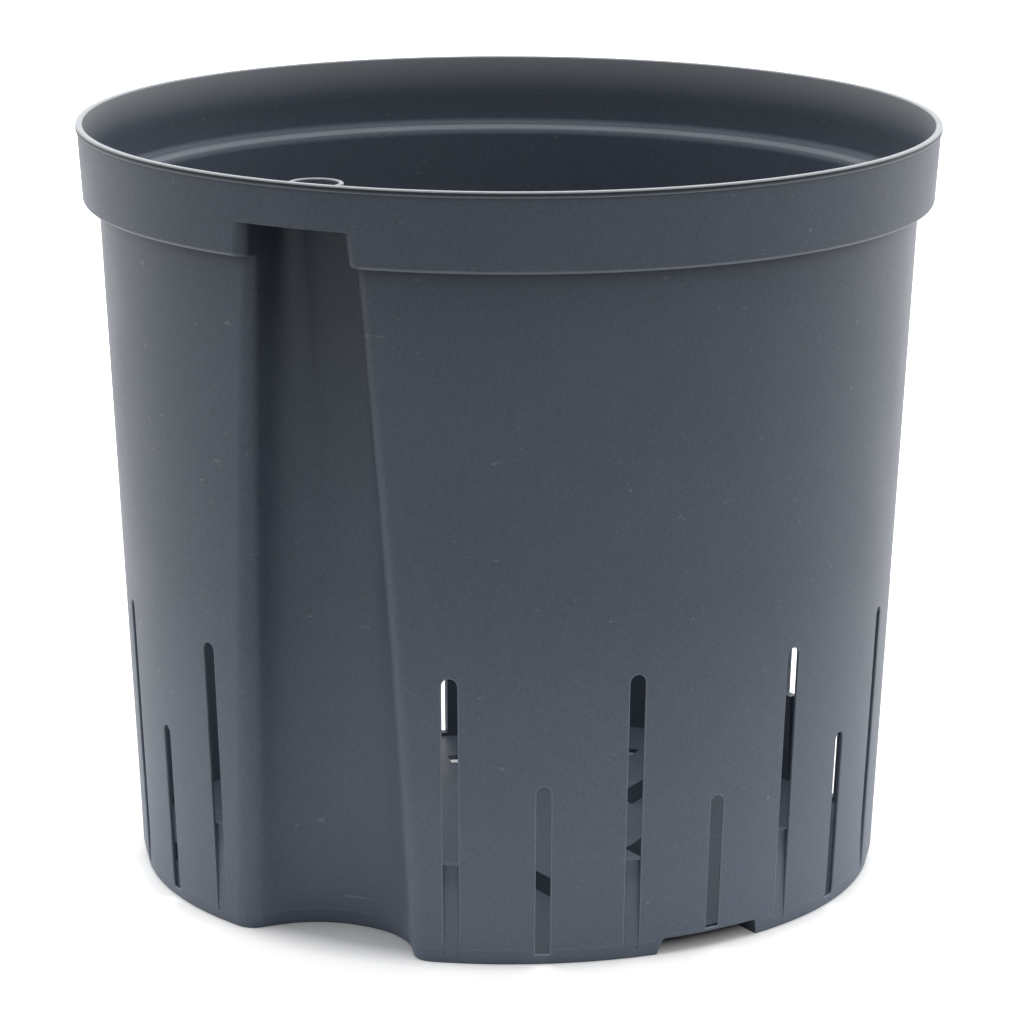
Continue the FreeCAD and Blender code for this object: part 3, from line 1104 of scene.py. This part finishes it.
def top_pairs(corner_at):
    """Return a face's pairs along its top, from last to first."""
    low = mouth_at(collar_foot) + degrees(outline_margin / wall_top_radius)
    azimuths = [azimuth for azimuth in reversed(wall_columns()) if low < azimuth < 360 - low]
    return [pair_at(corner_at, azimuth, collar_foot) for azimuth in azimuths]


def foot_arcs(notches):
    """Return the foot's stretches between notches, as their two ends.

    An end is a notch and its side, or None at the mouth of the recess.
    """
    marks = [None]
    for notch in notches:
        marks += [(notch, -1), (notch, 1)]
    marks.append(None)
    return list(zip(marks[::2], marks[1::2]))


def end_azimuth(mark, last):
    """Return the azimuth of a stretch's end."""
    if mark is None:
        return mouth_at(0, last)
    notch, side = mark
    half_width = notch_foot_half_width + notch_edge_rounding
    return notch.azimuth + side * degrees(asin(half_width / wall_foot_radius))


def arc_columns(start, end):
    """Return the azimuths of a stretch's columns."""
    gap = degrees(outline_margin / wall_foot_radius)
    low = end_azimuth(start, False) + gap
    high = end_azimuth(end, True) - gap
    return [azimuth for azimuth in wall_columns() if low < azimuth < high]


def arc_end(mark, last):
    """Return the rounded columns and the inner place at a stretch's end."""
    if mark is None:
        column = [corner for _, corner in mouth_pairs(outer_corner, rounding_rows(), last)]
        return [column], inner_corner(mouth_at(0, last), 0)[0]
    notch, side = mark
    return notch.end_columns(side), notch.on_inner_face(side * notch_foot_half_width, 0)


def add_foot(skin, notches):
    """Add the wall's rounded foot and underside, and return the border above."""
    border = []
    for start, end in foot_arcs(notches):
        azimuths = arc_columns(start, end)
        columns = [[outer_corner(azimuth, z) for z in rounding_rows()] for azimuth in azimuths]
        ends = [arc_end(start, False), arc_end(end, True)]
        skin.grid([ends[0][0][0]] + columns + [ends[1][0][0]])
        outer = [column[0][0] for column in columns]
        inner = [inner_corner(azimuth, 0)[0] for azimuth in azimuths]
        skin.band(-upward, outer, inner)
        for (rounded, inner_end), beside in zip(ends, (0, -1)):
            edge = [column[0][0] for column in rounded]
            skin.flat(-upward, outer[beside], *edge, inner_end, inner[beside])
        for azimuth, column in zip(azimuths, columns):
            border.append((unrolled(azimuth, foot_rounding), column[-1]))
        if end is not None:
            border += end[0].outer_outline()[::-1][foot_steps:-foot_steps]
    return border


def inner_foot_border(notches):
    """Return the inner face's pairs along its foot and notches."""
    border = []
    for start, end in foot_arcs(notches):
        border += [pair_at(inner_corner, azimuth, 0) for azimuth in arc_columns(start, end)]
        if end is not None:
            border += end[0].inner_outline()[::-1]
    return border


def add_face(skin, corner_at, foot_border, edge_heights, row_heights, slot_loops, notch_loops):
    """Add one face of the round wall."""
    border = foot_border + mouth_pairs(corner_at, edge_heights, True) + top_pairs(corner_at)
    border += reversed(mouth_pairs(corner_at, edge_heights, False))
    add_sheet(skin, border, slot_loops, sheet_rows(corner_at, row_heights, slot_loops + notch_loops))


def add_wall():
    """Make the tapered wall with its slots, grooves, sills and foot notches."""
    skin = Skin()
    notches = [Notch(azimuth) for azimuth in notch_azimuths]
    slots = make_slots()
    for cutout in slots + notches:
        cutout.add_to(skin)
    heights = wall_rows()
    upper = [z for z in heights if z >= foot_rounding]
    add_face(skin, outer_corner, add_foot(skin, notches), upper, upper[1:-1],
             [slot.outer_loop() for slot in slots], [notch.outer_outline() for notch in notches])
    inner_rows = [z for z in heights if z > foot_edge_height + foot_edge_blend][:-1]
    add_face(skin, inner_corner, inner_foot_border(notches), heights, inner_rows,
             [slot.inner_loop() for slot in slots], [notch.inner_outline() for notch in notches])
    tops = []
    for corner_at in (outer_corner, inner_corner):
        start, end = [mouth_pairs(corner_at, [collar_foot], last) for last in (True, False)]
        tops.append(places_of(start + top_pairs(corner_at) + end))
    skin.band(upward, *tops)
    for last, turn in ((False, -90), (True, 90)):
        edges = [places_of(mouth_pairs(corner_at, heights, last))
                 for corner_at in (outer_corner, inner_corner)]
        skin.band(radial(mouth_at(0, last) + turn), *edges)
    # Painted highlights and shade on the wall's places.
    skin.mark_all(wall_painted_light)
    skin.piece("moulded_wall", "slotted_wall")


def mark_recess(skin, row, z):
    """Mark the shade across the recess, which fades towards its mouth."""
    shade = crease_shade(collar_foot - z, recess_shade_reach, recess_shade)
    crease = collar_shade(z) if z <= collar_foot else 0.0
    skin.mark(row[fillet_points:-fillet_points], shade)
    for index in range(fillet_points):
        skin.mark([row[index], row[-1 - index]], mix(crease, shade, index / fillet_points))


def add_recess():
    """Make the recess's walls below the collar."""
    skin = Skin()
    heights = wall_rows()
    outer = [recess_row(z, wall_radius, foot_inset) for z in heights]
    inner = [recess_row(z, lambda at: wall_radius(at) + shelf_roll(at)[0], lambda _: wall, -1)
             for z in heights]
    skin.grid(outer)
    skin.grid(inner)
    skin.close_rows(outer, inner)
    for index, side in ((0, -1), (-1, 1)):
        columns = [[row[index][0] for row in face] for face in (outer, inner)]
        skin.band(radial(side * (mouth_at(0) + 90)), *columns)
    for z, outer_row, inner_row in zip(heights, outer, inner):
        mark_recess(skin, outer_row, z)
        skin.mark(inner_row, inside_shade_at(z))
    # Painted shade along the foot's rounding, and a lighter line at its edge.
    skin.mark_all(foot_painted_light)
    skin.piece("moulded_recess", "indicator_recess")


def rounded_profile(corners):
    """Return a closed section from its (radius, height, rounding) corners.

    Its points are places with normals. A sharp corner has no rounding and gives two.
    """
    points = [Vector((radius, z)) for radius, z, _ in corners]
    profile = []
    for index, (_, _, rounding) in enumerate(corners):
        corner = points[index]
        back = (points[index - 1] - corner).normalized()
        ahead = (points[(index + 1) % len(points)] - corner).normalized()
        before = Vector((-back.y, back.x))
        after = Vector((ahead.y, -ahead.x))
        if rounding is None:
            profile += [(corner, before), (corner, after)]
            continue
        half_angle = back.angle(ahead) / 2
        centre = corner + (back + ahead).normalized() * (rounding / sin(half_angle))
        start = atan2(before.y, before.x)
        swing = atan2(before.cross(after), before.dot(after))
        for turn in steps(start, start + swing, section_steps):
            normal = Vector(way_at(turn))
            profile.append((centre + normal * copysign(rounding, swing), normal))
    return profile


def turned_corners(profile, azimuth, centre=Vector((0, 0, 0))):
    """Return a section's corners at an azimuth round an upright axis."""
    corners = []
    for place, normal in profile:
        tilted = radial(azimuth) * normal.x + normal.y * upward
        corners.append((centre + spot(place.x, azimuth, place.y), tilted.normalized()))
    return corners


def collar_inside(z):
    """Return the collar's inner radius."""
    return collar_top_radius - collar_wall - collar_lean * (pot_height - z)


def shelf_corners():
    """Return the section down the collar's inner face and over its shelf."""
    drawn_back, slope = shelf_roll(collar_foot)
    wall_inside = wall_radius(collar_foot) - wall + drawn_back
    outer_height = shelf_top + shelf_rise
    return [
        (collar_inside(roof_underside), roof_underside, None),
        (collar_inside(outer_height), outer_height, shelf_fillet),
        (wall_inside + slope * shelf_crest_height, collar_foot + shelf_crest_height, shelf_edge_rounding),
        (wall_inside, collar_foot, None),
    ]


def rim_corners():
    """Return the section round the rim's bead."""
    crease = [bead_foot - share * bead_crease_reach for share in (1.0,) + crease_row_shares]
    return [(collar_radius(z), z, None) for z in crease] + [
        (collar_top_radius, bead_foot, bead_foot_fillet),
        (rim_radius, bead_foot, bead_foot_rounding),
        (rim_radius, pot_height, bead_rounding),
        (collar_top_radius - collar_wall, pot_height, bead_rounding),
    ]


def collar_painted_light(place):
    """Return the painted highlight or shade on the collar."""
    radius = hypot(place.x, place.y)
    z = place.z
    # Painted highlight along the shelf.
    on_shelf = wall_radius(collar_foot) - wall < radius < collar_inside(shelf_top) - shelf_fillet
    if on_shelf and collar_foot + shelf_rise < z < roof_underside:
        return shelf_highlight
    # Painted highlight along the bead's top rounding.
    if z > pot_height - bead_rounding:
        return bead_highlight
    # Painted highlight along the bead's lower rounding.
    if radius > rim_radius - bead_foot_rounding / 2 and z < bead_foot + 2 * bead_foot_rounding:
        return bead_foot_highlight
    if z > shelf_top and radius < collar_inside(z) + collar_wall / 2:
        return -rim_inside_shade * min(1.0, (z - shelf_top) / (bead_foot - shelf_top))
    # Painted shade in the crease under the bead.
    if z > bead_foot - bead_crease_reach and radius > collar_foot_radius:
        return crease_shade(bead_foot - z, bead_crease_reach, bead_crease_shade)
    # Painted highlight along the collar's rounded lower edge.
    if radius > collar_foot_radius - collar_edge_rounding and z < collar_foot + collar_edge_highlight_height:
        return collar_edge_highlight
    return 0.0


def head_radius(z):
    """Return the collar's outside radius, with its rounded foot."""
    below = held(1 - (z - collar_foot) / collar_edge_rounding)
    return collar_radius(z) - collar_edge_rounding * (1 - sqrt(1 - below * below))


def collar_end():
    """Return the azimuth where the collar meets the recess's head."""
    return mouth_azimuth(collar_foot, head_radius(collar_foot)) + head_margin


def add_collar():
    """Make the collar with its bead and shelf, and the band over the recess."""
    skin = Skin()
    end = collar_end()
    foot = [(collar_foot_radius, collar_foot, collar_edge_rounding),
            (collar_radius(roof_underside), roof_underside, None)]
    profile = rounded_profile(foot + rim_corners() + shelf_corners())
    profile.append(profile[0])
    count = round((360 - 2 * end) / collar_column_step)
    skin.grid([turned_corners(profile, azimuth) for azimuth in steps(end, 360 - end, count)])
    lower = [point for point in profile if point[0].y <= roof_underside + height_tolerance]
    for azimuth, turn in ((end, -90), (-end, 90)):
        skin.flat(radial(azimuth + turn), *[place for place, _ in turned_corners(lower, azimuth)])
    rows = []
    for azimuth in steps(-end, end, band_steps):
        fade = min(1.0, (end - abs(azimuth)) / band_fade_angle)
        band = [(collar_inside(roof_underside), roof_underside, None),
                (collar_radius(roof_underside), roof_underside, band_edge_rounding * fade)]
        profile = rounded_profile(band + rim_corners())
        rows.append(turned_corners(profile + profile[:1], azimuth))
    skin.grid(rows)
    # Painted highlights and shade on the collar's places.
    skin.mark_all(collar_painted_light)
    skin.piece("moulded_collar", "rim_collar")


def head_row(z):
    """Return a row of corners across the head's outer face."""
    radius = head_radius(z)
    below = min(nearly_one, held(1 - (z - collar_foot) / collar_edge_rounding))
    slope = -collar_lean - below / sqrt(1 - below * below)
    beside = []
    for azimuth in steps(mouth_azimuth(z, radius), collar_end(), margin_steps)[1:]:
        beside.append((spot(radius, azimuth, z), radial(azimuth, slope)))
    return mirrored(beside) + recess_row(z, head_radius, lambda _: 0.0) + beside


def shelf_row(place, normal):
    """Return a row of corners across the head's inner face, at a point of the shelf."""
    z = place.y
    radius = place.x + wall
    here = half_outline(z, radius, wall)
    wider = half_outline(z, radius + shelf_nudge, wall)
    higher = half_outline(z + shelf_nudge, radius, wall)
    right = []
    for (point, way), (wide, _), (high, _) in zip(here, wider, higher):
        spread = (wide - point).dot(way) / shelf_nudge
        drift = (high - point).dot(way) / shelf_nudge
        tilt = spread * normal.y - drift * normal.x
        facing = Vector((way.x * normal.x, -way.y * normal.x, tilt))
        if facing.length < shortest_facing:
            facing = Vector((-way.x, way.y, 0))
        right.append((Vector((point.x, -point.y, z)), facing.normalized()))
    mouth = degrees(atan2(here[-1][0].x, here[-1][0].y))
    for azimuth in steps(mouth, collar_end(), margin_steps)[1:]:
        right += turned_corners([(place, normal)], azimuth)
    return mirrored(right[1:]) + right


def add_recess_head():
    """Make the recess's walls within the collar."""
    skin = Skin()
    turns = steps(0, pi / 2, section_steps)
    heights = [collar_foot + collar_edge_rounding * (1 - cos(turn)) for turn in turns]
    heights += steps(heights[-1], roof_underside, head_steps)[1:]
    outer = [head_row(z) for z in heights]
    profile = rounded_profile(shelf_corners() + [(collar_foot_radius, collar_foot, None)])
    inner = [shelf_row(*point) for point in reversed(profile[1:-3])]
    skin.grid(outer)
    skin.grid(inner)
    skin.close_rows(outer, inner)
    for index, side in ((0, -1), (-1, 1)):
        column = [row[index][0] for row in outer + inner[::-1]]
        skin.flat(radial(side * (collar_end() + 90)), *column)
    # Painted highlights and shade on the head, then painted shade across the recess.
    skin.mark_all(collar_painted_light)
    for z, row in zip(heights, outer):
        mark_recess(skin, row[margin_steps:-margin_steps], z)
    skin.piece("moulded_recess_head", "recess_head")


def roof_row(z, drawn_in):
    """Return the corners round the roof's edge, drawn in by its rounding."""
    front_radius = collar_inside(roof_underside) + roof_tuck
    outline = half_outline(roof_underside, collar_radius(roof_underside), collar_wall - drawn_in)
    half = outline[:back_points + corner_points]
    start, way = half[-1]
    side = meet_circle(start, Vector((way.y, -way.x)), front_radius)
    half.append((side, way))
    for turn in steps(atan2(side.x, side.y), 0, roof_steps)[:-1]:
        half.append((front_radius * Vector((sin(turn), cos(turn))), Vector((0, -1))))
    tilt = asin(held((z - roof_top + roof_rounding) / roof_rounding))
    row = []
    for place, way in half:
        facing = Vector((-way.x * cos(tilt), way.y * cos(tilt), sin(tilt)))
        row.append((Vector((place.x, -place.y, z)), facing))
    front = (Vector((0, -front_radius, z)), Vector((0, -1, 0)))
    return row + [front] + mirrored(row[1:]) + row[:1]


def add_roof():
    """Make the roof of the recess, with the hole under the guide ring."""
    skin = Skin()
    rows = [roof_row(roof_underside, 0.0)]
    for turn in steps(0, pi / 2, roof_steps):
        drop = roof_rounding * (1 - sin(turn))
        rows.append(roof_row(roof_top - drop, roof_rounding * (1 - cos(turn))))
    skin.grid(rows)
    hole = [spot(guide_bore / 2, azimuth, 0) for azimuth in steps(0, 360, bore_steps)]
    rings = []
    for z in (roof_underside, roof_top):
        rings.append([(guide_centre + place + z * upward, -place.normalized()) for place in hole])
    skin.grid(rings)
    for row, ring, normal in ((rows[0], rings[0], -upward), (rows[-1], rings[1], upward)):
        places = [place for place, _ in row[:-1] + ring[:-1]]
        edges = ring_edges(0, len(row) - 1) + ring_edges(len(row) - 1, bore_steps)
        for middle, points in triangles([place.xy / mm for place in places], edges):
            if (middle * mm - guide_centre.xy).length > guide_bore / 2 * nearly_one:
                skin.flat(normal, *[places[point] for point in points])
    skin.piece("moulded_recess_roof", "recess_roof")


def add_guide_ring():
    """Make the guide ring that stands on the roof."""
    skin = Skin()
    profile = rounded_profile([
        (guide_bore / 2, roof_top, None),
        (guide_radius, roof_top, None),
        (guide_radius, guide_top, guide_rounding),
        (guide_bore / 2, guide_top, guide_rounding),
    ])
    profile.append(profile[0])
    skin.grid([turned_corners(profile, azimuth, guide_centre) for azimuth in steps(0, 360, ring_steps)])
    # Painted highlight along the ring's rounded top.
    skin.mark_all(lambda place: ring_highlight if place.z > guide_top - guide_rounding else None)
    skin.piece("moulded_guide_ring", "indicator_guide_ring")


set_camera()
set_world()
set_floor()
# The plastic is painted paler towards the foot; its copy for the inside floor pieces is painted darker,
# as painted shade.
plastic = pot_plastic("pot_plastic", wall_foot_painted_light)
floor_plastic = pot_plastic("pot_plastic_inside", floor_painted_shade)
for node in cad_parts.values():
    for slot in node.material_slots:
        slot.material = floor_plastic
add_wall()
add_recess()
add_collar()
add_recess_head()
add_roof()
add_guide_ring()

bpy.context.scene.view_settings.view_transform = "Standard"
